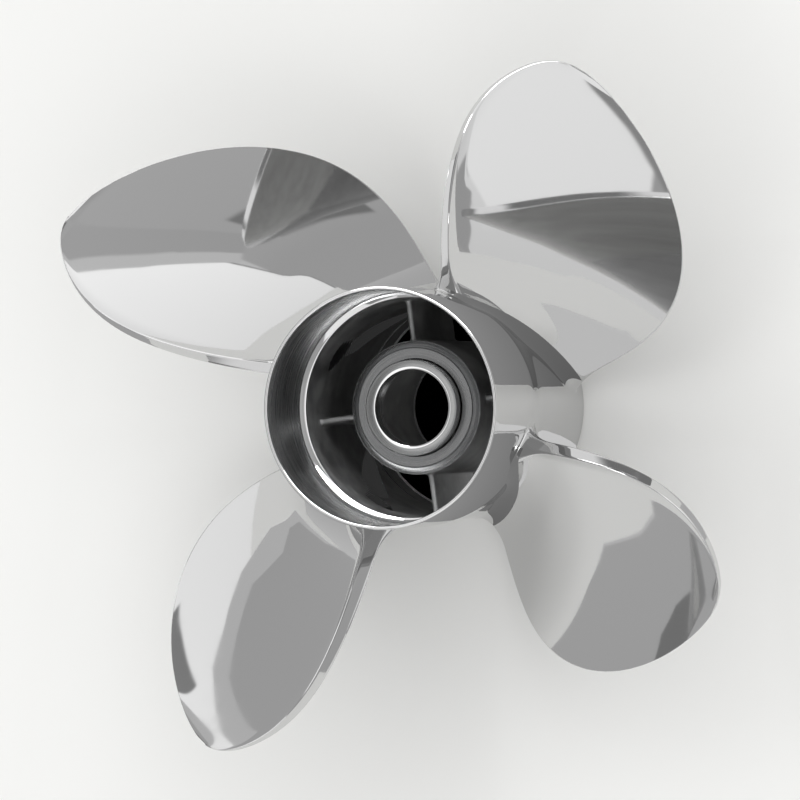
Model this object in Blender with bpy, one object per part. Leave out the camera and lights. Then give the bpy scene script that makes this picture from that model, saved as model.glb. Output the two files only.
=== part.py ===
"""Four-blade boat propeller with exhaust through the hub, polished stainless steel.

Metres, +Z along the shaft towards the aft end. The barrel's front edge lies at z = 0
and the shaft axis is the Z axis. Seen from aft the propeller turns clockwise, so each
blade's leading edge is its clockwise and forward edge.
"""

import math

import bmesh
import bpy
import numpy as np

MM = 0.001
SEAT_GAP = 0.3

# Driving dimensions, in millimetres and degrees.
BLADE_COUNT = 4
TIP_RADIUS = 193.7
BLADE_ROOT_RADIUS = 61.5
FIRST_BLADE_ANGLE = 44.4
BARREL_LENGTH = 166.0

# Blade stations: share of the span, half chord measured round the axis, skew of the
# middle line, height of the middle line, pitch, greatest thickness and thickness of the
# blunt trailing edge, its cup included.
BLADE_STATIONS = (
    (0.00, 33.1, 0.0, 58.5, 576.0, 12.0, 8.2),
    (0.25, 49.6, 3.15, 77.3, 604.0, 10.0, 7.4),
    (0.50, 61.2, 5.26, 96.4, 614.0, 8.6, 7.0),
    (0.75, 62.6, 9.36, 120.5, 606.0, 7.0, 6.2),
    (1.00, 43.2, 15.84, 150.1, 556.0, 2.8, 2.2),
)
TIP_FULLNESS = 4.5
LEADING_EDGE_THICKNESS = 1.2
TRAILING_CORNER = 0.6
CUP_SHARE = 0.12
CUP_WIDTH = 7.0

# Root fillet: its height out along the blade, its width on the faces and how far it
# lengthens the section at each edge.
FILLET_HEIGHT = 17.0
FILLET_WIDTH = 13.0
END_FILLET = 4.0
FILLET_ROWS = (0.0, 0.6, 1.8, 4.0, 7.5, 12.0)
BLEND_HEIGHT = 36.0
BLADE_ROWS = 14
CHORD_STEPS = 16
STEPS_ACROSS = 6

# Barrel: the cast tube that carries the blades.
BARREL_FRONT_RADIUS = 57.4
BARREL_WAIST_RADIUS = 56.6
BARREL_WAIST_Z = 70.0
BARREL_AFT_RADIUS = 59.9
BARREL_SHOULDER_Z = 108.0
BARREL_WALL = 2.7
LEDGE_TOP_Z = 114.0
LEDGE_OUTER_RADIUS = 57.5
LEDGE_INNER_RADIUS = 55.1
FRONT_LIP_LENGTH = 16.0
FRONT_LIP_RADIUS = 54.9

# Exhaust tube: the thin tube that runs on from the barrel to the aft end.
TUBE_OUTER_RADIUS = 60.3
TUBE_WALL = 2.0

# Inner hub, its sleeve and the ribs that carry it.
HUB_RADIUS = 33.6
HUB_FRONT_Z = 19.0
HUB_FACE_Z = 106.4
HUB_FACE_RADIUS = 29.9
HUB_CHAMFER = 1.6
HUB_BORE_RADIUS = 27.6
HUB_BORE_DEPTH = 74.0
SLEEVE_OUTER_RADIUS = 24.1
SLEEVE_BORE_RADIUS = 19.2
SLEEVE_TOP_Z = 113.0
SLEEVE_LENGTH = 20.0
SLEEVE_BEVEL = 0.9
SLEEVE_CLEARANCE = 0.35
RIB_THICKNESS = 3.0
RIB_FRONT_Z = 26.0
RIB_AFT_Z = 95.0
RIB_ANGLE = 7.8

STEEL_BRIGHT = ("polished_stainless", (0.62, 0.62, 0.62), 0.08)
STEEL_SATIN = ("satin_stainless", (0.42, 0.42, 0.42), 0.32)


def clear_scene():
    for old in list(bpy.data.objects):
        bpy.data.objects.remove(old, do_unlink=True)


def steel(name, colour, roughness):
    material = bpy.data.materials.get(name)
    if material is None:
        material = bpy.data.materials.new(name)
        material.use_nodes = True
        shader = material.node_tree.nodes["Principled BSDF"]
        shader.inputs["Base Color"].default_value = (*colour, 1.0)
        shader.inputs["Metallic"].default_value = 1.0
        shader.inputs["Roughness"].default_value = roughness
    return material


def finish_object(name, work, finish, sharp_angle=30.0):
    """Turn a bmesh in millimetres into a named object in metres."""
    bmesh.ops.recalc_face_normals(work, faces=work.faces)
    bmesh.ops.scale(work, vec=(MM, MM, MM), verts=work.verts)
    mesh = bpy.data.meshes.new(name)
    work.to_mesh(mesh)
    work.free()
    mesh.shade_smooth()
    mesh.set_sharp_from_angle(angle=math.radians(sharp_angle))
    mesh.materials.append(steel(*finish))
    piece = bpy.data.objects.new(name, mesh)
    bpy.context.scene.collection.objects.link(piece)
    return piece


def turned(name, outline, finish, segments=72):
    """Spin a closed (radius, height) outline once round the Z axis."""
    work = bmesh.new()
    points = [work.verts.new((radius, 0.0, height)) for radius, height in outline]
    edges = [work.edges.new((a, b)) for a, b in zip(points, points[1:] + points[:1])]
    bmesh.ops.spin(work, geom=points + edges, cent=(0, 0, 0), axis=(0, 0, 1),
                   angle=math.tau, steps=segments, use_merge=True)
    bmesh.ops.remove_doubles(work, verts=work.verts, dist=0.01)
    return finish_object(name, work, finish)


def rounded_end(inner_radius, outer_radius, height, steps=5):
    """Half-round end of a tube wall, from its inner side to its outer side."""
    middle = (inner_radius + outer_radius) / 2
    reach = (outer_radius - inner_radius) / 2
    angles = np.linspace(math.pi, 0.0, steps)
    return [(middle + reach * math.cos(a), height - reach + reach * math.sin(a)) for a in angles]


def barrel_radius(height):
    """Outer radius of the barrel: a slight waist, then the swell up to the exhaust tube."""
    if height < BARREL_WAIST_Z:
        share = max(height, 0.0) / BARREL_WAIST_Z
        return BARREL_FRONT_RADIUS + (BARREL_WAIST_RADIUS - BARREL_FRONT_RADIUS) * share
    share = min((height - BARREL_WAIST_Z) / (BARREL_SHOULDER_Z - BARREL_WAIST_Z), 1.0)
    swell = share * share * (3 - 2 * share)
    return BARREL_WAIST_RADIUS + (BARREL_AFT_RADIUS - BARREL_WAIST_RADIUS) * swell


def barrel_bore_radius(height):
    """Inner radius of the barrel: it follows the outside, up to the ledge's own bore."""
    return min(barrel_radius(height) - BARREL_WALL, LEDGE_INNER_RADIUS)


def make_barrel():
    outer_heights = np.linspace(1.0, BARREL_SHOULDER_Z, 13)
    outer = [(BARREL_FRONT_RADIUS - 0.8, 0.0)]
    outer += [(barrel_radius(z), z) for z in outer_heights]
    ledge = [(LEDGE_OUTER_RADIUS, BARREL_SHOULDER_Z)]
    ledge += rounded_end(LEDGE_INNER_RADIUS, LEDGE_OUTER_RADIUS, LEDGE_TOP_Z)[::-1]
    inner_heights = np.linspace(100.0, FRONT_LIP_LENGTH + 3.0, 7)
    inner = [(barrel_bore_radius(z), z) for z in inner_heights]
    groove = [(FRONT_LIP_RADIUS + 0.6, FRONT_LIP_LENGTH + 2.0), (FRONT_LIP_RADIUS + 0.6, FRONT_LIP_LENGTH)]
    lip = [(FRONT_LIP_RADIUS, FRONT_LIP_LENGTH - 0.8), (FRONT_LIP_RADIUS, 0.0)]
    return turned("barrel", outer + ledge + inner + groove + lip, STEEL_BRIGHT)


def make_exhaust_tube():
    foot = BARREL_SHOULDER_Z + SEAT_GAP
    inner_foot = LEDGE_OUTER_RADIUS + SEAT_GAP + 0.1
    inner_top = TUBE_OUTER_RADIUS - TUBE_WALL
    outside = [(BARREL_AFT_RADIUS, foot), (BARREL_AFT_RADIUS + 0.1, 126.0), (TUBE_OUTER_RADIUS - 0.2, 158.0)]
    rim = rounded_end(inner_top, TUBE_OUTER_RADIUS, BARREL_LENGTH, 7)[::-1]
    inside = [(inner_top - 0.1, 158.0), (inner_foot + 0.1, 126.0), (inner_foot, foot)]
    return turned("exhaust_tube", outside + rim + inside, STEEL_BRIGHT)


def make_inner_hub():
    bore_top = HUB_FRONT_Z + HUB_BORE_DEPTH
    sleeve_seat = SLEEVE_OUTER_RADIUS + SLEEVE_CLEARANCE
    outline = [
        (HUB_RADIUS - 0.8, HUB_FRONT_Z),
        (HUB_RADIUS, HUB_FRONT_Z + 0.8),
        (HUB_RADIUS, HUB_FACE_Z - HUB_CHAMFER - 0.6),
        (HUB_RADIUS - 0.5, HUB_FACE_Z - HUB_CHAMFER),
        (HUB_FACE_RADIUS, HUB_FACE_Z),
        (sleeve_seat, HUB_FACE_Z),
        (sleeve_seat, bore_top + 6.0),
        (SLEEVE_BORE_RADIUS + 1.5, bore_top + 6.0),
        (SLEEVE_BORE_RADIUS + 1.5, bore_top),
        (HUB_BORE_RADIUS - 2.5, bore_top),
        (HUB_BORE_RADIUS - 0.8, bore_top - 2.0),
        (HUB_BORE_RADIUS, HUB_FRONT_Z + 1.0),
        (HUB_BORE_RADIUS + 1.0, HUB_FRONT_Z),
    ]
    return turned("inner_hub", outline, STEEL_SATIN, segments=60)


def make_hub_sleeve():
    foot = HUB_FRONT_Z + HUB_BORE_DEPTH + 6.0 + SEAT_GAP
    outline = [
        (SLEEVE_OUTER_RADIUS, foot),
        (SLEEVE_OUTER_RADIUS, SLEEVE_TOP_Z - 0.5),
        (SLEEVE_OUTER_RADIUS - 0.5, SLEEVE_TOP_Z),
        (SLEEVE_BORE_RADIUS + SLEEVE_BEVEL, SLEEVE_TOP_Z),
        (SLEEVE_BORE_RADIUS, SLEEVE_TOP_Z - SLEEVE_BEVEL),
        (SLEEVE_BORE_RADIUS, foot),
    ]
    return turned("hub_sleeve", outline, STEEL_SATIN, segments=60)


def make_rib(number):
    """A flat web between hub and barrel, with a rounded aft edge."""
    angle = math.radians(RIB_ANGLE + 360.0 * (number - 1) / BLADE_COUNT)
    inner = HUB_RADIUS + SEAT_GAP
    heights = np.linspace(RIB_FRONT_Z, RIB_AFT_Z - RIB_THICKNESS / 2, 6)
    work = bmesh.new()
    half = RIB_THICKNESS / 2
    loops = []
    for height, width in [(z, half) for z in heights] + [(RIB_AFT_Z - 0.4, half * 0.7), (RIB_AFT_Z, half * 0.25)]:
        outer = barrel_bore_radius(height) - SEAT_GAP
        corners = [(inner, -width), (outer, -width), (outer, width), (inner, width)]
        loops.append([work.verts.new((x, y, height)) for x, y in corners])
    for low, high in zip(loops, loops[1:]):
        for side in range(4):
            after = (side + 1) % 4
            work.faces.new((low[side], low[after], high[after], high[side]))
    work.faces.new(loops[0])
    work.faces.new(loops[-1])
    rib = finish_object(f"rib_{number}", work, STEEL_SATIN)
    rib.rotation_euler.z = angle
    return rib


STATION_SPANS, *STATION_VALUES = np.array(BLADE_STATIONS).T
STATION_CURVES = [np.polyfit(STATION_SPANS, values, len(BLADE_STATIONS) - 1) for values in STATION_VALUES]


def section_point(half_length, thickness, trailing, chord_share, across, height):
    """Point (along the chord, off the helix) of one section: chord_share runs from the
    leading to the trailing edge, across from the forward face, -1, to the aft face, 1.
    The root fillet, a quarter ellipse, grows the section all round."""
    flare_share = 1 - math.sqrt(1 - max(1 - height / FILLET_HEIGHT, 0) ** 2)
    flare = FILLET_WIDTH * flare_share
    length = 2 * (half_length + END_FILLET * flare_share)
    from_lead, from_trail = length * chord_share, length * (1 - chord_share)
    cup = CUP_SHARE * trailing
    lead, trail = LEADING_EDGE_THICKNESS, trailing - cup
    swell = thickness - (lead + trail) / 2
    wedge = lead + (trail - lead) * chord_share + swell * 4 * chord_share * (1 - chord_share)
    aft_face = trail * chord_share + flare + cup * max(1 - from_trail / CUP_WIDTH, 0) ** 2
    forward_face = trail * chord_share - wedge - flare
    reach = (aft_face - forward_face) / 2
    corner = TRAILING_CORNER + flare
    nose_cut = max(1 - from_lead / reach, 0)
    corner_cut = max(1 - from_trail / corner, 0)
    half_thickness = reach * math.sqrt(1 - nose_cut ** 2) - corner * (1 - math.sqrt(1 - corner_cut ** 2))
    return from_lead - length / 2, (aft_face + forward_face) / 2 + across * half_thickness


def blade_point(height, chord_share, across):
    """Point on the blade as angle, radius and height along the axis, where the given
    height is measured out from the blade's root."""
    span = height / (TIP_RADIUS - BLADE_ROOT_RADIUS)
    half_chord, skew, middle_z, pitch, *thicknesses = [np.polyval(curve, span) for curve in STATION_CURVES]
    radius = BLADE_ROOT_RADIUS + height
    half_chord *= math.sqrt(1.0 - span ** TIP_FULLNESS)
    slope = math.atan2(pitch / math.tau, radius)
    along, off_helix = section_point(half_chord / math.cos(slope), *thicknesses, chord_share, across, height)
    arc = along * math.cos(slope) - off_helix * math.sin(slope)
    z = middle_z + along * math.sin(slope) + off_helix * math.cos(slope)
    seat = barrel_radius(z) + SEAT_GAP - BLADE_ROOT_RADIUS
    seated_radius = radius + seat * max(1.0 - height / BLEND_HEIGHT, 0.0)
    return arc / radius + math.radians(skew), seated_radius, z


def make_blade(number):
    """Loft closed sections from the barrel's skin to the tip."""
    turn = math.radians(FIRST_BLADE_ANGLE - 360.0 * (number - 1) / BLADE_COUNT)
    reach = TIP_RADIUS - BLADE_ROOT_RADIUS
    start = FILLET_HEIGHT
    rest = start + (reach - start) * np.sin(np.linspace(0, math.pi / 2, BLADE_ROWS)[:-1])
    heights = [*FILLET_ROWS, *rest, reach - 0.25]
    shares = (1 - np.cos(np.linspace(0, math.pi, CHORD_STEPS + 1))) / 2
    acrosses = np.linspace(1.0, -1.0, STEPS_ACROSS + 1)
    outline = [(share, 1.0) for share in shares]
    outline += [(1.0, across) for across in acrosses[1:-1]]
    outline += [(share, -1.0) for share in shares[:0:-1]]
    work = bmesh.new()

    def place(*where):
        angle, radius, z = blade_point(*where)
        return work.verts.new((radius * math.cos(angle + turn), radius * math.sin(angle + turn), z))

    rings = [[place(height, *where) for where in outline] for height in heights]
    for low, high in zip(rings, rings[1:]):
        edges = [ring_edge(work, ring, i) for ring in (low, high) for i in range(len(ring))]
        bmesh.ops.bridge_loops(work, edges=edges)
    cap_blade_tip(work, rings[-1])
    foot = [[place(0.0, share, across) for across in acrosses[1:-1]] for share in shares[1:-1]]
    cap_blade_root(work, rings[0], foot)
    return finish_object(f"blade_{number}", work, STEEL_BRIGHT, sharp_angle=40.0)


def ring_edge(work, ring, i):
    pair = (ring[i], ring[(i + 1) % len(ring)])
    return work.edges.get(pair) or work.edges.new(pair)


def cap_blade_tip(work, ring):
    """Close the tip with strips from the aft face across to the forward face."""
    work.faces.new((ring[0], ring[1], ring[-1]))
    for i in range(1, CHORD_STEPS - 1):
        work.faces.new((ring[i], ring[i + 1], ring[-1 - i], ring[-i]))
    work.faces.new(ring[CHORD_STEPS - 1:-CHORD_STEPS + 2])


def cap_blade_root(work, ring, foot):
    """Close the foot with strips that follow the barrel's round."""
    columns = [[ring[0]] * (STEPS_ACROSS + 1)]
    columns += [[ring[i], *between, ring[-i]] for i, between in enumerate(foot, start=1)]
    columns.append(ring[CHORD_STEPS:-CHORD_STEPS + 1])
    for first, second in zip(columns, columns[1:]):
        for a, b, c, d in zip(first, first[1:], second[1:], second):
            corners = list(dict.fromkeys((a, d, c, b)))
            work.faces.new(corners)


def main():
    clear_scene()
    make_barrel()
    make_exhaust_tube()
    make_inner_hub()
    make_hub_sleeve()
    for number in range(1, BLADE_COUNT + 1):
        make_rib(number)
        make_blade(number)


main()
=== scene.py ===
import math

import bmesh
import bpy
import numpy as np
from mathutils import Matrix, Vector


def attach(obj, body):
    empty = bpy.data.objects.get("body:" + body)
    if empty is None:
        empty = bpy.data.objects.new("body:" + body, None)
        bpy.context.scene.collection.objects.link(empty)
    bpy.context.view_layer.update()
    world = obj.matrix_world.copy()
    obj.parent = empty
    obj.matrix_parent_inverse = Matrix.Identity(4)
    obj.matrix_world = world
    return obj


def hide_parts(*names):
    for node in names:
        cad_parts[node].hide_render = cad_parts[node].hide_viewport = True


# A four-blade boat propeller, cast in stainless steel and polished by hand. It stands
# on the front edge of its barrel, +Z runs along the shaft to the aft end. The sizes in
# the dictionaries are millimetres, and their angles degrees unless a note says otherwise.

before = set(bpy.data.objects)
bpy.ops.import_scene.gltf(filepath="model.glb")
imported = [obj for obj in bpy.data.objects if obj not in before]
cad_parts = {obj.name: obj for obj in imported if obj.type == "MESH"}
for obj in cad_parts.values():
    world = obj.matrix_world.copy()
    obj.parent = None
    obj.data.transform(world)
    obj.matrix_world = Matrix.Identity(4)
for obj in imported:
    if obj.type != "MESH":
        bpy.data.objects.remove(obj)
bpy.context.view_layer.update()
mm = 0.001


def linearColour(hexCode):
    # sRGB hex to the linear values that the shaders take
    parts = [int(hexCode[i:i + 2], 16) / 255 for i in (1, 3, 5)]
    return (*[p / 12.92 if p <= 0.04045 else ((p + 0.055) / 1.055) ** 2.4 for p in parts], 1.0)


def addNode(tree, kind, inputs=(), **settings):
    # inputs by place or by name, each a value, a socket or a node whose first live output counts
    node = tree.nodes.new(kind)
    for setting, value in settings.items():
        setattr(node, setting, value)
    pairs = inputs.items() if isinstance(inputs, dict) else enumerate(inputs)
    for socket, value in pairs:
        if isinstance(value, bpy.types.Node):
            value = next(output for output in value.outputs if output.enabled)
        if isinstance(value, bpy.types.NodeSocket):
            tree.links.new(value, node.inputs[socket])
        else:
            node.inputs[socket].default_value = value
    return node


def newMaterial(name, diffuse):
    material = bpy.data.materials.new(name)
    material.use_nodes = True
    material.diffuse_color = linearColour(diffuse)
    material.node_tree.nodes.clear()
    return material, material.node_tree


def finishMetal(tree, colour, roughness, bump):
    shader = addNode(tree, "ShaderNodeBsdfPrincipled", {
        "Base Color": colour, "Metallic": 1.0, "Roughness": roughness, "Normal": bump})
    addNode(tree, "ShaderNodeOutputMaterial", {"Surface": shader})


# Materials

patchRange = {
    "tone": (0.35, 0.65),  # the noise levels between which the shade changes
    "gloss": (0.3, 0.7),  # and the roughness
}


def shadePatches(tree, patches, shades, roughness):
    # low noise takes the first shade and roughness, high noise the second
    (toneLow, toneHigh), (glossLow, glossHigh) = patchRange["tone"], patchRange["gloss"]
    first, second = [linearColour(shade) for shade in shades]
    tone = addNode(tree, "ShaderNodeMapRange", {"Value": patches, "From Min": toneLow, "From Max": toneHigh})
    colour = addNode(tree, "ShaderNodeMix", {"Factor": tone, "A": first, "B": second}, data_type="RGBA")
    gloss = addNode(tree, "ShaderNodeMapRange", {
        "Value": patches, "From Min": glossLow, "From Max": glossHigh,
        "To Min": roughness[0], "To Max": roughness[1]})
    return colour, gloss


polishedLook = {
    "colour": "#cbcbcb",
    "roughness": (0.028, 0.05),  # clear and hazy
    "waveSize": 28.0,  # between the low waves that hand polishing leaves
    "waveHeight": 0.012,
    "hazeSize": 16.0,  # between the patches that the last wheel left a little duller
    "hazeRange": (0.35, 0.7),
}


def makePolished():
    # mirror-polished cast stainless: a clear reflection, bent by the low waves of the wheel
    # and softened here and there by a faint haze
    look = polishedLook
    material, tree = newMaterial("mirror_polished_cast_stainless", look["colour"])
    place = addNode(tree, "ShaderNodeTexCoord").outputs["Object"]
    wave = addNode(tree, "ShaderNodeTexNoise", {
        "Vector": place, "Scale": 1 / (look["waveSize"] * mm), "Detail": 1.0})
    bump = addNode(tree, "ShaderNodeBump", {
        "Height": wave, "Strength": 1.0, "Distance": look["waveHeight"] * mm})
    haze = addNode(tree, "ShaderNodeTexNoise", {
        "Vector": place, "Scale": 1 / (look["hazeSize"] * mm), "Detail": 4.0, "Roughness": 0.6})
    (low, high), (clear, hazy) = look["hazeRange"], look["roughness"]
    gloss = addNode(tree, "ShaderNodeMapRange", {
        "Value": haze, "From Min": low, "From Max": high, "To Min": clear, "To Max": hazy})
    finishMetal(tree, linearColour(look["colour"]), gloss, bump)
    return material


buffedShadedLook = {
    # darker than the polished steel: painted shade, for the shaded floor the forward faces look down on
    "shades": ("#848484", "#909090"),
    "toneSize": 7.0,  # between the wheel's duller and brighter passes
    "roughness": (0.125, 0.085),
    "grainSize": 1.6,  # coarser than the real grain, so that it shows
    "grainHeight": 0.004,
}


def makeBuffedShaded():
    # forward faces, taken off the wheel early: a soft grain left from the casting, and darker shades that
    # are painted shade for the shaded floor these faces look down on
    look = buffedShadedLook
    material, tree = newMaterial("buffed_painted_shade_cast_stainless", look["shades"][0])
    place = addNode(tree, "ShaderNodeTexCoord").outputs["Object"]
    grain = addNode(tree, "ShaderNodeTexNoise", {
        "Vector": place, "Scale": 1 / (look["grainSize"] * mm), "Detail": 3.0})
    bump = addNode(tree, "ShaderNodeBump", {
        "Height": grain, "Strength": 1.0, "Distance": look["grainHeight"] * mm})
    passes = addNode(tree, "ShaderNodeTexNoise", {
        "Vector": place, "Scale": 1 / (look["toneSize"] * mm), "Detail": 4.0, "Roughness": 0.6})
    colour, gloss = shadePatches(tree, passes, look["shades"], look["roughness"])
    finishMetal(tree, colour, gloss, bump)
    return material


turnedLook = {
    "feed": 0.35,  # between the tool marks, coarser than real ones so that they show
    "drift": 40.0,  # along a ring before its shade changes
    "markHeight": 0.0012,
    "roughness": (0.34, 0.2),
    # the sleeve's, hub's and cone's shades are darker than the tube's: painted shade, for their place deep
    # inside the tube
    "sleeve": ("#7c7d7e", "#919190"),
    "hub": ("#747576", "#8a8a8a"),
    "cone": ("#68696a", "#808080"),
    "tube": ("#c4c5c6", "#dcdcdc"),
}


def makeTurned(part):
    # turned on the lathe: fine rings round the shaft, each cut a little brighter or duller
    look = turnedLook
    material, tree = newMaterial(f"turned_stainless_{part}", look[part][1])
    place = addNode(tree, "ShaderNodeTexCoord").outputs["Object"]
    x, y, z = addNode(tree, "ShaderNodeSeparateXYZ", (place,)).outputs
    flat = addNode(tree, "ShaderNodeCombineXYZ", (x, y))
    radius = addNode(tree, "ShaderNodeVectorMath", (flat,), operation="LENGTH").outputs["Value"]
    cut = addNode(tree, "ShaderNodeMath", (radius, z), operation="ADD")
    ring = addNode(tree, "ShaderNodeMath", (cut, look["drift"] / look["feed"]), operation="MULTIPLY")
    grooves = addNode(tree, "ShaderNodeCombineXYZ", (x, y, ring))
    marks = addNode(tree, "ShaderNodeTexNoise", {
        "Vector": grooves, "Scale": 1 / (look["drift"] * mm), "Detail": 4.0, "Roughness": 0.6})
    bump = addNode(tree, "ShaderNodeBump", {
        "Height": marks, "Strength": 1.0, "Distance": look["markHeight"] * mm})
    colour, gloss = shadePatches(tree, marks, look[part], look["roughness"])
    finishMetal(tree, colour, gloss, bump)
    return material


castLook = {
    "shades": ("#8c8d8d", "#acacac"),
    "roughness": (0.5, 0.7),
    "grainSize": 0.9,  # coarser than the mould's own, so that it shows
    "grainHeight": 0.03,
    "grainStrength": 0.6,
    "blotchSize": 14.0,
}


def makeCast():
    # inside walls and ribs as they came from the mould: fine grain and darker blotches
    look = castLook
    material, tree = newMaterial("cast_stainless", look["shades"][0])
    place = addNode(tree, "ShaderNodeTexCoord").outputs["Object"]
    grain = addNode(tree, "ShaderNodeTexNoise", {
        "Vector": place, "Scale": 1 / (look["grainSize"] * mm), "Detail": 3.0})
    blotch = addNode(tree, "ShaderNodeTexNoise", {
        "Vector": place, "Scale": 1 / (look["blotchSize"] * mm), "Detail": 4.0, "Roughness": 0.6})
    bump = addNode(tree, "ShaderNodeBump", {
        "Height": grain, "Strength": look["grainStrength"], "Distance": look["grainHeight"] * mm})
    colour, gloss = shadePatches(tree, blotch, look["shades"], look["roughness"])
    finishMetal(tree, colour, gloss, bump)
    return material


polished = makePolished()
buffedShaded = makeBuffedShaded()
turnedSleeve = makeTurned("sleeve")
turnedHub = makeTurned("hub")
turnedCone = makeTurned("cone")
turnedTube = makeTurned("tube")
cast = makeCast()
print("materials made")


# Barrel and exhaust tube

barrelShape = {
    "frontRadius": 57.4,
    "waistRadius": 56.6,
    "waistHeight": 70.0,
    "aftRadius": 59.9,
    "shoulderHeight": 108.0,
    "wall": 2.7,
    "ledgeTop": 114.0,
    "ledgeOuter": 57.5,
    "ledgeInner": 55.1,
    "ledgeCone": 1.7,
    "lipLength": 16.0,
    "lipRadius": 54.9,
    "rimRadius": 60.3,
    "tubeWall": 2.0,
    "length": 166.0,
    "tubeFoot": 126.0,  # the tube widens from here to tubeBend
    "tubeBend": 158.0,
    "tubeTaper": 0.1,
    "boreTop": 100.0,  # where the bore begins to follow the barrel's outer side
    "frontEdge": 0.8,
    "softEdge": 0.5,
    "grooveDepth": 0.6,
    "grooveWidth": 2.0,
    "rows": 40,
    "boreRows": 24,
    "turnedFacing": 0.3,  # faces that look aft more than this stay polished
}


def barrelRadius(height):
    # a slight waist, then the swell up to the exhaust tube
    shape = barrelShape
    if height < shape["waistHeight"]:
        share = max(height, 0.0) / shape["waistHeight"]
        return shape["frontRadius"] + (shape["waistRadius"] - shape["frontRadius"]) * share
    share = min((height - shape["waistHeight"]) / (shape["shoulderHeight"] - shape["waistHeight"]), 1.0)
    swell = shape["aftRadius"] - shape["waistRadius"]
    return shape["waistRadius"] + swell * share * share * (3 - 2 * share)


def finishMesh(name, mesh, materials, replaced, sharpAngle=35.0):
    mesh.shade_smooth()
    mesh.set_sharp_from_angle(angle=math.radians(sharpAngle))
    for material in materials:
        if material.name not in mesh.materials:
            mesh.materials.append(material)
    piece = bpy.data.objects.new(name, mesh)
    bpy.context.scene.collection.objects.link(piece)
    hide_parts(*replaced)
    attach(piece, "root")
    return piece


def turnOutline(name, outline, segments=288):
    # spins a closed outline of (radius, height) points, in mm, round the shaft
    work = bmesh.new()
    points = [work.verts.new((radius * mm, 0.0, height * mm)) for radius, height in outline]
    edges = [work.edges.new(pair) for pair in zip(points, points[1:] + points[:1])]
    bmesh.ops.spin(work, geom=points + edges, cent=(0, 0, 0), axis=(0, 0, 1),
                   angle=math.tau, steps=segments, use_merge=True)
    bmesh.ops.remove_doubles(work, verts=work.verts, dist=1e-6)
    bmesh.ops.recalc_face_normals(work, faces=work.faces)
    mesh = bpy.data.meshes.new(name)
    work.to_mesh(mesh)
    work.free()
    return mesh


def roundedEnd(inner, outer, top, steps=13):
    # half-round end of a wall, from its outer side to its inner side
    middle, reach = (inner + outer) / 2, (outer - inner) / 2
    angles = np.linspace(0.0, math.pi, steps)
    return [(middle + reach * math.cos(a), top - reach + reach * math.sin(a)) for a in angles]


def makeCasting():
    shape = barrelShape
    sizes = ("tubeFoot", "tubeBend", "tubeTaper", "softEdge", "frontEdge")
    foot, bend, taper, soft, edge = [shape[size] for size in sizes]
    outline = [(shape["frontRadius"] - edge, 0.0)]
    outline += [(barrelRadius(z), z) for z in np.linspace(edge, shape["shoulderHeight"], shape["rows"])]
    outline += [(shape["aftRadius"] + taper, foot), (shape["rimRadius"] - 2 * taper, bend)]
    innerTop = shape["rimRadius"] - shape["tubeWall"]
    outline += roundedEnd(innerTop, shape["rimRadius"], shape["length"])
    # a cone leads from the tube's wall down to the ledge's round edge
    ledge, lip, wall = shape["ledgeTop"], shape["ledgeInner"], shape["ledgeOuter"]
    cone = ledge + shape["ledgeCone"]
    outline += [
        (innerTop - taper, bend),
        (wall + soft, foot),
        (wall + 0.9 * soft, cone + soft),
        (wall + 0.6 * soft, cone),
        (lip + soft, ledge),
        (lip + 0.3 * soft, ledge - 0.3 * soft),
        (lip, ledge - soft),
    ]
    lipEnd = shape["lipLength"]
    grooveTop = lipEnd + shape["grooveWidth"]
    outline += [(min(barrelRadius(z) - shape["wall"], lip), z)
                for z in np.linspace(shape["boreTop"], grooveTop + 1.0, shape["boreRows"])]
    groove = shape["lipRadius"] + shape["grooveDepth"]
    outline += [(groove, grooveTop), (groove, lipEnd)]
    outline += [(shape["lipRadius"], lipEnd - edge), (shape["lipRadius"], 0.0)]
    mesh = turnOutline("barrel_casting", outline)
    for face in mesh.polygons:
        # the tube's inner wall is turned, the barrel's is left as cast
        inward = face.normal.x * face.center.x + face.normal.y * face.center.y < 0
        if inward and face.normal.z < shape["turnedFacing"]:
            face.material_index = 1 if face.center.z / mm > cone - soft else 2
    finishMesh("barrel_casting", mesh, [polished, turnedTube, cast],
               ["barrel", "exhaust_tube"])


makeCasting()
print("barrel and exhaust tube made")


# Blades: a flat blank that a node tree wraps round the shaft and repeats

bladeShape = {
    "count": 4,
    "firstAngle": 44.4,
    "tipRadius": 193.7,
    "rootRadius": 61.5,
    # share of the span, half chord round the shaft, skew in degrees, height of the middle
    # line, pitch, greatest thickness, thickness of the blunt trailing edge with its cup
    "stations": (
        (0.00, 33.1, 0.0, 58.5, 576.0, 12.0, 8.2),
        (0.25, 49.6, 3.15, 77.3, 604.0, 10.0, 7.4),
        (0.50, 61.2, 5.26, 96.4, 614.0, 8.6, 7.0),
        (0.75, 62.6, 9.36, 120.5, 606.0, 7.0, 6.2),
        (1.00, 43.2, 15.84, 150.1, 556.0, 2.8, 2.2),
    ),
    "tipFullness": 4.5,
    "leadingThickness": 1.2,
    "trailingCorner": 0.6,
    "tipRounding": 0.8,
    "tipStart": 0.8,  # share of the span where the rows begin to crowd towards the tip
    "tipGap": 0.01,
    "cupShare": 0.12,
    "cupWidth": 7.0,  # but no more than cupReach of the chord
    "cupReach": 0.05,
    "filletHeight": 17.0,
    "filletWidth": 13.0,
    "endFillet": 4.0,  # how far the fillet lengthens the blade's foot at each edge
    "blendHeight": 36.0,
    "footDepth": 1.2,
    "waveHeight": 0.35,
    "waveLength": 75.0,
    "forwardFacing": -0.2,  # faces that look forward more than this are buffed and darkened with painted shade
    "faceSteps": 72,
    "edgeSteps": 6,
    "filletRows": 26,
    "spanRows": 36,
    "tipRows": 30,
}
spans, *stationValues = np.array(bladeShape["stations"]).T
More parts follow.
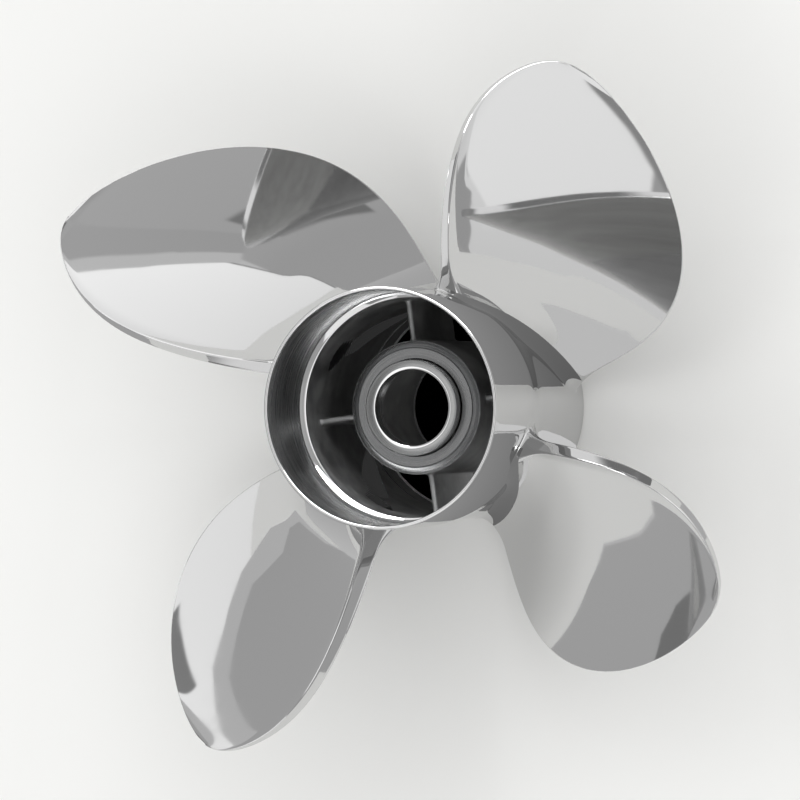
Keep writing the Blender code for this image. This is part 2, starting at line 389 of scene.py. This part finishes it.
halfChordCurve, skewCurve, heightCurve, pitchCurve, thicknessCurve, trailingCurve = [
    np.polyfit(spans, values, len(spans) - 1) for values in stationValues]
bladeReach = bladeShape["tipRadius"] - bladeShape["rootRadius"]


def blankPoint(height, chordShare, across):
    # point of the unrolled blade: along the chord, off the helix, out from the root;
    # across runs from the forward face, -1, to the aft face, 1
    shape = bladeShape
    span = min(max(height / bladeReach, 0.0), 1.0)
    slope = math.atan2(np.polyval(pitchCurve, span) / math.tau, shape["rootRadius"] + height)
    halfChord = np.polyval(halfChordCurve, span) * math.sqrt(1 - span ** shape["tipFullness"])
    toFillet = min(max(1 - height / shape["filletHeight"], 0.0), 1.0)
    flareShare = 1 - math.sqrt(1 - toFillet ** 2)
    flare = shape["filletWidth"] * flareShare
    length = 2 * (halfChord / math.cos(slope) + shape["endFillet"] * flareShare)
    fromLead, fromTrail = length * chordShare, length * (1 - chordShare)
    trailing = np.polyval(trailingCurve, span)
    cupWidth = min(shape["cupWidth"], shape["cupReach"] * length)
    cup = shape["cupShare"] * trailing * cupWidth / shape["cupWidth"]
    lead, trail = shape["leadingThickness"], trailing - cup
    swell = np.polyval(thicknessCurve, span) - (lead + trail) / 2
    wedge = lead + (trail - lead) * chordShare + swell * 4 * chordShare * (1 - chordShare)
    aftFace = trail * chordShare + flare + cup * max(1 - fromTrail / cupWidth, 0) ** 2
    forwardFace = trail * chordShare - wedge - flare
    reach = (aftFace - forwardFace) / 2
    corner = shape["trailingCorner"] + flare
    noseCut = max(1 - fromLead / reach, 0)
    cornerCut = max(1 - fromTrail / corner, 0)
    halfThickness = reach * math.sqrt(1 - noseCut ** 2) - corner * (1 - math.sqrt(1 - cornerCut ** 2))
    tipCut = max(1 - (bladeReach - height) / shape["tipRounding"], 0)
    halfThickness *= math.sqrt(1 - min(tipCut, 1.0) ** 2)
    return (fromLead - length / 2, (aftFace + forwardFace) / 2 + across * halfThickness, height)


def makeBladeBlank():
    shape = bladeShape
    filletTop = shape["filletHeight"]
    rows = [-shape["footDepth"]]
    filletAngles = np.linspace(math.pi / 2, 0.0, shape["filletRows"])
    rows += [filletTop * (1 - math.sin(angle)) for angle in filletAngles]
    rows += list(np.linspace(filletTop, shape["tipStart"] * bladeReach, shape["spanRows"])[1:])
    firstAngle = math.asin(shape["tipStart"] ** (shape["tipFullness"] / 2))
    for angle in np.linspace(firstAngle, math.pi / 2, shape["tipRows"])[1:-1]:
        rows.append(bladeReach * math.sin(angle) ** (2 / shape["tipFullness"]))
    rows.append(bladeReach - shape["tipGap"])
    shares = (1 - np.cos(np.linspace(0, math.pi, shape["faceSteps"] + 1))) / 2
    ring = [(share, 1.0) for share in shares]
    ring += [(1.0, across) for across in np.linspace(1, -1, shape["edgeSteps"] + 1)[1:-1]]
    ring += [(share, -1.0) for share in shares[:0:-1]]
    points = np.array([blankPoint(row, *where) for row in rows for where in ring]) * mm
    count = len(ring)
    faces = []
    for row in range(len(rows) - 1):
        for i in range(count):
            after = (i + 1) % count
            low, high = row * count, (row + 1) * count
            faces.append((high + i, high + after, low + after, low + i))
    # the two ends are closed strip by strip, so that they bend with the blade
    for start, way in ((0, 1), ((len(rows) - 1) * count, -1)):
        steps = shape["faceSteps"]
        for i in range(steps):
            strip = [i, i + 1, count - 1 - i, (count - i) % count]
            faces.append(tuple(start + n for n in dict.fromkeys(strip))[::way])
        faces.append(tuple(start + n for n in range(steps, count - steps + 1))[::way])
    mesh = bpy.data.meshes.new("blade_blank")
    mesh.from_pydata(points.tolist(), [], faces)
    return mesh


def polynomialNodes(tree, coefficients, variable):
    value = coefficients[0]
    for coefficient in coefficients[1:]:
        value = addNode(tree, "ShaderNodeMath", (value, variable, coefficient), operation="MULTIPLY_ADD")
    return value


def newTree(name, inputs):
    tree = bpy.data.node_groups.new(name, "GeometryNodeTree")
    tree.interface.new_socket("Geometry", in_out="INPUT", socket_type="NodeSocketGeometry")
    for label, value in inputs.items():
        kind = "NodeSocketInt" if isinstance(value, int) else "NodeSocketFloat"
        tree.interface.new_socket(label, in_out="INPUT", socket_type=kind)
    tree.interface.new_socket("Geometry", in_out="OUTPUT", socket_type="NodeSocketGeometry")
    entry = addNode(tree, "NodeGroupInput")
    return tree, entry.outputs


def repeatRoundShaft(tree, geometry, count, firstAngle, material):
    # copies at even steps, clockwise as seen from aft
    points = addNode(tree, "GeometryNodePoints", {"Count": count})
    index = addNode(tree, "GeometryNodeInputIndex")
    step = addNode(tree, "ShaderNodeMath", (-math.tau, count), operation="DIVIDE")
    angle = addNode(tree, "ShaderNodeMath", (index, step, firstAngle), operation="MULTIPLY_ADD")
    turned = addNode(tree, "ShaderNodeCombineXYZ", {"Z": angle})
    copies = addNode(tree, "GeometryNodeInstanceOnPoints", {
        "Points": points, "Instance": geometry, "Rotation": turned})
    real = addNode(tree, "GeometryNodeRealizeInstances", (copies,))
    return addNode(tree, "GeometryNodeSetMaterial", {"Geometry": real, "Material": material})


def makeWrapTree(values):
    tree, entry = newTree("wrap_on_shaft", values)
    place = addNode(tree, "ShaderNodeSeparateXYZ", (addNode(tree, "GeometryNodeInputPosition"),))
    along, off, height = place.outputs
    span = addNode(tree, "ShaderNodeMath", (height, entry["Reach"]), operation="DIVIDE", use_clamp=True)
    pitch = polynomialNodes(tree, pitchCurve * mm / math.tau, span)
    skew = polynomialNodes(tree, np.radians(skewCurve), span)
    middle = polynomialNodes(tree, heightCurve * mm, span)
    radius = addNode(tree, "ShaderNodeMath", (entry["Root Radius"], height), operation="ADD")
    slope = addNode(tree, "ShaderNodeMath", (pitch, radius), operation="ARCTAN2")
    rise = addNode(tree, "ShaderNodeMath", (slope,), operation="SINE")
    run = addNode(tree, "ShaderNodeMath", (slope,), operation="COSINE")
    # the unrolled section is laid at the pitch angle
    section = addNode(tree, "ShaderNodeCombineXYZ", {"X": along, "Y": off})
    drop = addNode(tree, "ShaderNodeMath", (rise, -1.0), operation="MULTIPLY")
    aroundWay = addNode(tree, "ShaderNodeCombineXYZ", {"X": run, "Y": drop})
    upWay = addNode(tree, "ShaderNodeCombineXYZ", {"X": rise, "Y": run})
    arc, climb = [
        addNode(tree, "ShaderNodeVectorMath", (section, way), operation="DOT_PRODUCT").outputs["Value"]
        for way in (aroundWay, upWay)]
    z = addNode(tree, "ShaderNodeMath", (middle, climb), operation="ADD")
    # near the root the radius follows the barrel's skin
    shape = barrelShape
    waistHeight, waistRadius = shape["waistHeight"] * mm, shape["waistRadius"] * mm
    front = addNode(tree, "ShaderNodeMapRange", {
        "Value": z, "From Min": 0.0, "From Max": waistHeight,
        "To Min": shape["frontRadius"] * mm, "To Max": waistRadius})
    swell = addNode(tree, "ShaderNodeMapRange", {
        "Value": z, "From Min": waistHeight, "From Max": shape["shoulderHeight"] * mm,
        "To Min": 0.0, "To Max": shape["aftRadius"] * mm - waistRadius}, interpolation_type="SMOOTHSTEP")
    skin = addNode(tree, "ShaderNodeMath", (front, swell), operation="ADD")
    seat = addNode(tree, "ShaderNodeMath", (skin, entry["Root Radius"]), operation="SUBTRACT")
    hold = addNode(tree, "ShaderNodeMapRange", {
        "Value": height, "From Min": 0.0, "From Max": entry["Blend Height"], "To Min": 1.0, "To Max": 0.0})
    seatedRadius = addNode(tree, "ShaderNodeMath", (seat, hold, radius), operation="MULTIPLY_ADD")
    turn = addNode(tree, "ShaderNodeMath", (arc, radius), operation="DIVIDE")
    angle = addNode(tree, "ShaderNodeMath", (turn, skew), operation="ADD")
    spoke = addNode(tree, "ShaderNodeCombineXYZ", {"X": seatedRadius, "Z": z})
    wrapped = addNode(tree, "ShaderNodeVectorRotate", {
        "Vector": spoke, "Angle": angle}, rotation_type="Z_AXIS")
    bent = addNode(tree, "GeometryNodeSetPosition", {"Geometry": entry["Geometry"], "Position": wrapped})
    blades = repeatRoundShaft(tree, bent, entry["Blades"], entry["First Angle"], polished)
    # hand polishing leaves the faces a little wavy, each blade in its own way
    place = addNode(tree, "GeometryNodeInputPosition")
    noise = addNode(tree, "ShaderNodeTexNoise", {
        "Vector": place, "Scale": entry["Waves Per Metre"], "Detail": 1.0, "Roughness": 0.4})
    wave = addNode(tree, "ShaderNodeMath", (noise, 0.5), operation="SUBTRACT")
    lift = addNode(tree, "ShaderNodeMath", (wave, entry["Wave Height"]), operation="MULTIPLY")
    shift = addNode(tree, "ShaderNodeCombineXYZ", {"Z": lift})
    waved = addNode(tree, "GeometryNodeSetPosition", {"Geometry": blades, "Offset": shift})
    # the forward faces are buffed, not brought to a mirror, and darkened with painted shade
    facing = addNode(tree, "ShaderNodeSeparateXYZ", (addNode(tree, "GeometryNodeInputNormal"),)).outputs["Z"]
    limit = bladeShape["forwardFacing"]
    forward = addNode(tree, "ShaderNodeMath", (facing, limit), operation="LESS_THAN")
    dressed = addNode(tree, "GeometryNodeSetMaterial", {
        "Geometry": waved, "Selection": forward, "Material": buffedShaded})
    addNode(tree, "NodeGroupOutput", (dressed,))
    return tree


def growFromBlank(name, blank, tree, values, materials, replaced):
    # runs the tree on the blank and keeps the result as a plain mesh
    carrier = bpy.data.objects.new(f"{name}_blank", blank)
    bpy.context.scene.collection.objects.link(carrier)
    modifier = carrier.modifiers.new("tree", "NODES")
    modifier.node_group = tree
    for item in tree.interface.items_tree:
        if item.in_out == "INPUT" and item.name in values:
            modifier[item.identifier] = values[item.name]
    depsgraph = bpy.context.evaluated_depsgraph_get()
    mesh = bpy.data.meshes.new_from_object(carrier.evaluated_get(depsgraph))
    mesh.name = name
    carrier.modifiers.remove(modifier)
    bpy.data.objects.remove(carrier, do_unlink=True)
    work = bmesh.new()
    work.from_mesh(mesh)
    bmesh.ops.recalc_face_normals(work, faces=work.faces)
    work.to_mesh(mesh)
    work.free()
    return finishMesh(name, mesh, materials, replaced)


bladeInputs = {
    "Reach": bladeReach * mm,
    "Root Radius": bladeShape["rootRadius"] * mm,
    "Blend Height": bladeShape["blendHeight"] * mm,
    "Blades": bladeShape["count"],
    "First Angle": math.radians(bladeShape["firstAngle"]),
    "Wave Height": bladeShape["waveHeight"] * mm,
    "Waves Per Metre": 1 / (bladeShape["waveLength"] * mm),
}
bladeNodes = [f"blade_{n + 1}" for n in range(bladeShape["count"])]
blades = growFromBlank("blades", makeBladeBlank(), makeWrapTree(bladeInputs), bladeInputs,
                       [polished, buffedShaded], bladeNodes)
print("blades made", len(blades.data.polygons), "faces")


# Hub, sleeve and ribs

hubShape = {
    "radius": 33.6,
    "front": 19.0,
    "face": 106.4,
    "faceRadius": 29.9,
    "chamfer": 1.6,
    "frontEdge": 0.8,
    "coneInset": 0.5,
    "coneFoot": 0.6,
    # steps outward from faceRadius and down from the face, for the fine groove round it
    "faceGroove": ((0.35, 0.18), (0.1, 0.45), (-0.2, 0.0)),
    "bore": 27.6,
    "boreDepth": 74.0,
    # steps inward from the bore: down from its end, and up from the front
    "boreEnd": ((2.5, 0.0), (0.8, 2.0)),
    "boreMouth": ((0.0, 2.0), (0.7, 1.9), (0.7, 1.0), (-1.0, 0.0)),
    "shelfReach": 1.5,  # the shelf under the sleeve is open this much wider than its bore
    "shelfHeight": 6.0,
    "seatEdge": 0.3,
}
sleeveShape = {
    "radius": 24.1,
    "bore": 19.2,
    "top": 113.0,
    "edge": 0.5,
    "bevel": 1.3,
    "bevelCorner": 0.1,
    "bevelFacing": 0.3,  # faces of the bevel look aft more than this
    "clearance": 0.35,  # round it
    "gap": 0.3,  # under it
}


def makeHub():
    shape = hubShape
    sizes = ("radius", "front", "face", "bore", "frontEdge", "seatEdge", "coneFoot")
    radius, front, top, bore, edge, seatEdge, coneFoot = [shape[size] for size in sizes]
    cone, boreTop = top - shape["chamfer"], front + shape["boreDepth"]
    seat = sleeveShape["radius"] + sleeveShape["clearance"]
    shelf, shelfTop = sleeveShape["bore"] + shape["shelfReach"], boreTop + shape["shelfHeight"]
    outline = [(radius - edge, front), (radius, front + edge)]
    outline += [(radius, cone - coneFoot), (radius - shape["coneInset"], cone)]
    outline += [(shape["faceRadius"] + out, top - down) for out, down in shape["faceGroove"]]
    outline += [(seat + seatEdge, top), (seat, top - seatEdge)]
    outline += [(seat, shelfTop), (shelf, shelfTop), (shelf, boreTop)]
    outline += [(bore - inward, boreTop - down) for inward, down in shape["boreEnd"]]
    outline += [(bore - inward, front + up) for inward, up in shape["boreMouth"]]
    mesh = turnOutline("hub_core", outline)
    for face in mesh.polygons:
        # as cast below the cone, and the cone takes a darker painted shade than the face
        if face.center.z < (cone - coneFoot / 2) * mm:
            face.material_index = 1
        elif face.center.xy.length > shape["faceRadius"] * mm:
            face.material_index = 2
    finishMesh("hub_core", mesh, [turnedHub, cast, turnedCone], ["inner_hub"])


def makeSleeve():
    shape = sleeveShape
    radius, bore, top, bevel, edge = [shape[size] for size in ("radius", "bore", "top", "bevel", "edge")]
    foot = hubShape["front"] + hubShape["boreDepth"] + hubShape["shelfHeight"] + shape["gap"]
    outline = [
        (radius, foot),
        (radius, top - edge),
        (radius - edge, top),
        (bore + bevel, top),
        (bore + shape["bevelCorner"], top - 0.4 * bevel),
        (bore, top - 0.6 * bevel),
        (bore, foot),
    ]
    mesh = turnOutline("bore_sleeve", outline)
    for face in mesh.polygons:
        # the bevel round the bore is polished, the bore itself turned
        if face.center.xy.length < (bore + bevel) * mm:
            face.material_index = 1 if face.normal.z > shape["bevelFacing"] else 2
    finishMesh("bore_sleeve", mesh, [turnedSleeve, polished, turnedTube], ["hub_sleeve"])


ribShape = {
    "count": 4,
    "firstAngle": 7.8,
    "thickness": 3.0,
    "front": 26.0,
    "aft": 95.0,
    "fillet": 2.5,
    "intoHub": 0.5,
    "intoBarrel": 1.0,
    "steps": 24,
    "endSteps": 10,
}


def makeRibBlank():
    # a web that runs out along +X, round on its two edges, thicker where it meets a wall
    shape = ribShape
    inner = hubShape["radius"] - shape["intoHub"]
    outer = barrelShape["waistRadius"] - barrelShape["wall"] + shape["intoBarrel"]
    points, faces = [], []
    half = shape["thickness"] / 2
    for reach in np.linspace(inner, outer, shape["steps"] + 1):
        toWall = min(reach - inner, outer - reach)
        lift = max(shape["fillet"] - toWall, 0.0)
        flare = shape["fillet"] - math.sqrt(shape["fillet"] ** 2 - lift ** 2)
        for centre, start in ((shape["aft"] - half, 0.0), (shape["front"] + half, math.pi)):
            for angle in np.linspace(start, start + math.pi, shape["endSteps"] + 1):
                side, rise = (half + flare) * math.cos(angle), (half + flare) * math.sin(angle)
                points.append((reach, side, centre + rise))
    count = 2 * (shape["endSteps"] + 1)
    for row in range(shape["steps"]):
        for i in range(count):
            after = (i + 1) % count
            low, high = row * count, (row + 1) * count
            faces.append((low + i, low + after, high + after, high + i))
    faces += [tuple(range(count)), tuple(range(shape["steps"] * count, (shape["steps"] + 1) * count))]
    mesh = bpy.data.meshes.new("rib_blank")
    mesh.from_pydata((np.array(points) * mm).tolist(), [], faces)
    return mesh


def makeRibTree(values):
    tree, entry = newTree("ribs_round_hub", values)
    ribs = repeatRoundShaft(tree, entry["Geometry"], entry["Ribs"], entry["First Angle"], cast)
    addNode(tree, "NodeGroupOutput", (ribs,))
    return tree


makeHub()
makeSleeve()
ribInputs = {"Ribs": ribShape["count"], "First Angle": math.radians(ribShape["firstAngle"])}
ribNodes = [f"rib_{n + 1}" for n in range(ribShape["count"])]
growFromBlank("ribs", makeRibBlank(), makeRibTree(ribInputs), ribInputs, [cast], ribNodes)
print("hub, sleeve and ribs made")


# Floor, light and camera

cameraShot = {
    "distance": 4000.0,
    "tilt": 0.3033,  # radians that the shaft leans to the picture's left, then up
    "lean": -0.0033,
    "lens": 364.4,
    "sensor": 36.0,
    "rimRight": -10.18,  # where the exhaust rim's middle lies from the picture's
    "rimDown": 3.95,
    "seesTo": 100.0,  # metres
}


def makeCamera():
    # looks almost along the shaft from aft; the shaft leans to the left of the picture
    shot = cameraShot
    forward = Vector((math.sin(shot["tilt"]), math.sin(shot["lean"]), 0.0))
    forward.z = math.sqrt(1 - forward.length_squared)
    right = (Vector((1, 0, 0)) - forward * forward.x).normalized()
    up = right.cross(forward)
    rightWay, downWay, awayWay = [Vector((right[i], up[i], -forward[i])) for i in range(3)]
    rim = Vector((0, 0, barrelShape["length"]))
    place = rim - (shot["rimRight"] * rightWay + shot["rimDown"] * downWay + shot["distance"] * awayWay)
    data = bpy.data.cameras.new("camera")
    data.lens = shot["lens"]
    data.sensor_width = shot["sensor"]
    data.clip_end = shot["seesTo"]
    camera = bpy.data.objects.new("camera", data)
    bpy.context.scene.collection.objects.link(camera)
    turn = Matrix((rightWay, -downWay, -awayWay)).transposed()
    camera.matrix_world = Matrix.Translation(place * mm) @ turn.to_4x4()
    bpy.context.scene.camera = camera


# two discs below the part: pale paper, and a black disc of painted shade inside the barrel's front lip,
# standing in for the shadow there, so that the passages look dark from above
floorDiscs = {
    "floor": {
        "material": "pale_paper_floor",
        "colour": "#f2f2f0",
        "surface": {"Roughness": 0.9},
        "radius": 6000.0,
        "drop": 0.5,
        "inReflections": True,
    },
    # painted shade: a black disc where the floor lies in the barrel's own shadow
    "painted_shade_disc": {
        "material": "black_painted_shade",
        "colour": "#050505",
        "surface": {"Roughness": 1.0, "Specular IOR Level": 0.0},
        "radius": barrelShape["lipRadius"] - 1.0,
        "drop": 0.3,
        "inReflections": False,
    },
}


def makeDisc(name, disc):
    material, tree = newMaterial(disc["material"], disc["colour"])
    shader = addNode(tree, "ShaderNodeBsdfPrincipled", {
        "Base Color": linearColour(disc["colour"]), **disc["surface"]})
    addNode(tree, "ShaderNodeOutputMaterial", {"Surface": shader})
    work = bmesh.new()
    bmesh.ops.create_circle(work, cap_ends=True, segments=96, radius=disc["radius"] * mm)
    mesh = bpy.data.meshes.new(name)
    work.to_mesh(mesh)
    work.free()
    mesh.materials.append(material)
    piece = bpy.data.objects.new(name, mesh)
    bpy.context.scene.collection.objects.link(piece)
    piece.location.z = -disc["drop"] * mm
    piece.visible_glossy = disc["inReflections"]


studioLight = {
    "wall": 0.5,
    "overhead": (42.0, 50.0, 1.7),  # ring of light above: from, full at, level
    "cameraGap": (66.0, 74.0, 0.4),  # darker round the camera
    # soft boxes and their frames, later ones in front: azimuth and elevation of the middle,
    # half width and half height, turn, level at the lower and the upper edge, softness
    "panels": (
        (12.0, 27.0, 24.0, 13.0, 0.0, 0.52, 0.6, 3.0),
        (86.0, 31.0, 50.0, 13.0, 0.0, 0.77, 0.77, 0.6),
        (86.0, 12.0, 49.4, 32.0, 0.0, 0.35, 0.35, 0.3),
        (86.0, 12.0, 49.0, 32.0, 0.0, 1.0, 1.45, 0.3),
        (36.2, 25.3, 1.7, 9.0, -24.0, 0.72, 0.78, 0.2),
        (31.6, 27.6, 3.2, 9.5, -24.0, 0.5, 0.56, 0.4),
        (10.9, 19.2, 10.6, 3.6, 7.0, 0.24, 0.27, 0.5),
        (-80.0, 3.0, 33.0, 7.0, 0.0, 0.88, 0.96, 0.3),
        (-66.0, 9.0, 11.0, 4.5, 0.0, 0.96, 1.0, 0.5),
        (-48.7, 7.0, 3.0, 8.0, 41.0, 0.47, 0.47, 0.3),
        (-78.0, 27.5, 21.5, 18.2, -6.7, 1.15, 1.30, 0.8),
        (-96.4, 24.0, 12.0, 4.0, 35.0, 0.36, 0.4, 0.4),
        (116.8, 14.5, 6.2, 2.3, 0.0, 0.3, 0.34, 0.3),
    ),
    # grey cards beside the left blades, in the upright plane through these two points of the
    # floor: step back from it, levels at the low and the high end of y, corners as y and height
    "cardFoot": ((-200.0, 109.0), (-250.0, -210.0)),
    "cardLift": 0.2,
    "cards": {
        "card_hole": (-1.0, 0.25, 0.25, (
            (-180, 113), (-200, 128), (-216, 150), (-219, 190), (-190, 213), (-100, 205), (-100, 130))),
        "grey_card": (0.0, 0.57, 0.5, (
            (-164, 0), (15, 0), (50, 11), (101, 15), (111, 27), (89, 49), (82, 88), (57, 116), (22, 155),
            (-16, 183), (-60, 197), (-180, 215), (-250, 290), (-420, 330), (-420, 110), (-255, 100),
            (-232, 71), (-204, 13))),
        "card_border": (2.0, 0.72, 0.66, (
            (-168, 0), (17, 0), (51, 7), (125, 10), (134, 43), (104, 89), (65, 124), (35, 155), (-18, 198),
            (-60, 210), (-180, 220), (-250, 295), (-424, 335), (-424, 106), (-259, 97), (-236, 70),
            (-207, 10))),
    },
    # further cards and a lamp for the hub, and sheets on the floor that only reflections show, with painted
    # shade and painted light: axis of the glow, its two levels, the corners
    "sheets": {
        "far_card": (2, 0.5, 0.5, ((700, 60, 0), (700, 625, 0), (700, 625, 150), (700, 60, 150))),
        # painted shade: the floor near a blade's root, darker in reflections
        "root_floor_painted_shade": (0, 0.76, 0.45, ((-204, 108, 1), (-118, 108, 1), (-118, -10, 1), (-222, -10, 1))),
        "hub_lamp": (2, 11.0, 11.0, ((110, 110, 195), (-50, 110, 195), (-50, 110, 265), (110, 110, 265))),
        # painted shade: the floor darker in reflections, for the object's shadow
        "left_floor_painted_shade": (0, 0.58, 0.66, ((12, 80, 1), (700, 110, 1), (700, 600, 1), (60, 200, 1))),
        # painted light: the floor lighter in reflections, over a blade's shadow
        "right_floor_painted_light": (1, 0.8, 0.8, ((10, -20, 1), (150, -20, 1), (190, -330, 1), (10, -330, 1))),
    },
    # a faint glow that only reflections show, in place of the black disc: a painted reflection of dim light
    # in the bore
    "sheenRadius": 54.0,
    "sheenHeight": 0.2,
    "sheenSides": 48,
    "sheenGlow": (0.04, 0.03),
    # grey flags close round the barrel, above the blades' roots, that only reflections show: painted shade
    # in the barrel's reflections above each blade
    "flagRadius": 62.5,
    "flagSpread": 33.0,
    "flagSteps": 16,
    "flagLift": 9.0,
    "flagTop": 163.0,
    "flagGlow": (0.17, 0.33),
}


def addPanel(tree, direction, level, panel):
    azimuth, elevation, width, height, turn = [math.radians(angle) for angle in panel[:5]]
    low, high, soft = panel[5:]
    facing = Matrix.Rotation(azimuth, 3, "Z") @ Matrix.Rotation(-elevation, 3, "Y")
    facing = facing @ Matrix.Rotation(turn, 3, "X")
    away, side, up = [
        addNode(tree, "ShaderNodeVectorMath", (direction, way), operation="DOT_PRODUCT").outputs["Value"]
        for way in facing.col]
    mask = addNode(tree, "ShaderNodeMath", (away, 0.0), operation="GREATER_THAN")
    blur = math.radians(soft)
    for way, half in ((side, math.tan(width)), (up, math.tan(height))):
        share = addNode(tree, "ShaderNodeMath", (way, away), operation="DIVIDE")
        distance = addNode(tree, "ShaderNodeMath", (share,), operation="ABSOLUTE")
        inside = addNode(tree, "ShaderNodeMapRange", {
            "Value": distance, "From Min": half - blur, "From Max": half + blur,
            "To Min": 1.0, "To Max": 0.0}, interpolation_type="SMOOTHSTEP")
        mask = addNode(tree, "ShaderNodeMath", (mask, inside), operation="MULTIPLY")
    # share and half are now those of the panel's height
    glow = addNode(tree, "ShaderNodeMapRange", {
        "Value": share, "From Min": -half, "From Max": half, "To Min": low, "To Max": high})
    return addNode(tree, "ShaderNodeMix", {"Factor": mask, "A": level, "B": glow}, data_type="FLOAT")


def makeWorld():
    look = studioLight
    world = bpy.data.worlds.new("studio")
    bpy.context.scene.world = world
    world.use_nodes = True
    tree = world.node_tree
    tree.nodes.clear()
    direction = addNode(tree, "ShaderNodeTexCoord").outputs["Generated"]
    rise = addNode(tree, "ShaderNodeSeparateXYZ", (direction,)).outputs["Z"]
    level = look["wall"]
    for start, full, brightness in (look["overhead"], look["cameraGap"]):
        low, high = math.sin(math.radians(start)), math.sin(math.radians(full))
        share = addNode(tree, "ShaderNodeMapRange", {
            "Value": rise, "From Min": low, "From Max": high}, interpolation_type="SMOOTHSTEP")
        level = addNode(tree, "ShaderNodeMix", {
            "Factor": share, "A": level, "B": brightness}, data_type="FLOAT")
    for panel in look["panels"]:
        level = addPanel(tree, direction, level, panel)
    sky = addNode(tree, "ShaderNodeBackground", {"Color": (1.0, 1.0, 1.0, 1.0), "Strength": level})
    addNode(tree, "ShaderNodeOutputWorld", {"Surface": sky})


def makeReflector(name, along, low, high, corners, faces=None):
    # a sheet that only reflections show; its glow runs along one axis of its box
    material, tree = newMaterial(f"{name}_paper", "#bcbcbc")
    points = np.array(corners) * mm
    place = addNode(tree, "ShaderNodeTexCoord").outputs["Object"]
    share = addNode(tree, "ShaderNodeSeparateXYZ", (place,)).outputs[along]
    level = addNode(tree, "ShaderNodeMapRange", {
        "Value": share, "From Min": points[:, along].min(), "From Max": points[:, along].max(),
        "To Min": low, "To Max": high})
    glow = addNode(tree, "ShaderNodeEmission", {"Color": (1.0, 1.0, 1.0, 1.0), "Strength": level})
    addNode(tree, "ShaderNodeOutputMaterial", {"Surface": glow})
    mesh = bpy.data.meshes.new(name)
    mesh.from_pydata(points.tolist(), [], faces or [tuple(range(len(points)))])
    mesh.materials.append(material)
    sheet = bpy.data.objects.new(name, mesh)
    bpy.context.scene.collection.objects.link(sheet)
    sheet.visible_camera = sheet.visible_diffuse = sheet.visible_shadow = sheet.visible_transmission = False


def makeCards():
    (startX, startY), (endX, endY) = studioLight["cardFoot"]
    slant = (endX - startX) / (endY - startY)
    for name, (back, low, high, outline) in studioLight["cards"].items():
        corners = [(startX + (y - startY) * slant - back, y, height + studioLight["cardLift"])
                   for y, height in outline]
        makeReflector(name, 1, low, high, corners)
    for name, sheet in studioLight["sheets"].items():
        makeReflector(name, *sheet)


def makeBoreReflection():
    radius, height = studioLight["sheenRadius"], studioLight["sheenHeight"]
    turns = np.linspace(0, math.tau, studioLight["sheenSides"] + 1)[:-1]
    corners = [(radius * math.cos(turn), radius * math.sin(turn), height) for turn in turns]
    # painted reflection: a faintly glowing disc under the bore that only reflections see
    makeReflector("bore_painted_reflection", 1, *studioLight["sheenGlow"], corners)


def makeBarrelShadeFlags():
    # one flag of painted shade per blade, its foot just above the aft face; only reflections show it
    look, steps = studioLight, studioLight["flagSteps"]
    spread = math.radians(look["flagSpread"])
    middle, rise = heightCurve[-1], pitchCurve[-1] / math.tau
    corners, faces = [], []
    for blade in range(bladeShape["count"]):
        start = len(corners)
        axis = math.radians(bladeShape["firstAngle"]) - blade * math.tau / bladeShape["count"]
        for turn in np.linspace(-spread, spread, steps + 1).tolist():
            x, y = look["flagRadius"] * math.cos(axis + turn), look["flagRadius"] * math.sin(axis + turn)
            corners += [(x, y, middle + rise * turn + look["flagLift"]), (x, y, look["flagTop"])]
        faces += [(i, i + 2, i + 3, i + 1) for i in range(start, start + 2 * steps, 2)]
    makeReflector("barrel_painted_shade_flags", 2, *look["flagGlow"], corners, faces)


makeCamera()
for name, disc in floorDiscs.items():
    makeDisc(name, disc)
makeWorld()
makeCards()
makeBoreReflection()
makeBarrelShadeFlags()
bpy.context.scene.view_settings.view_transform = "Standard"
print("floor, light and camera made")
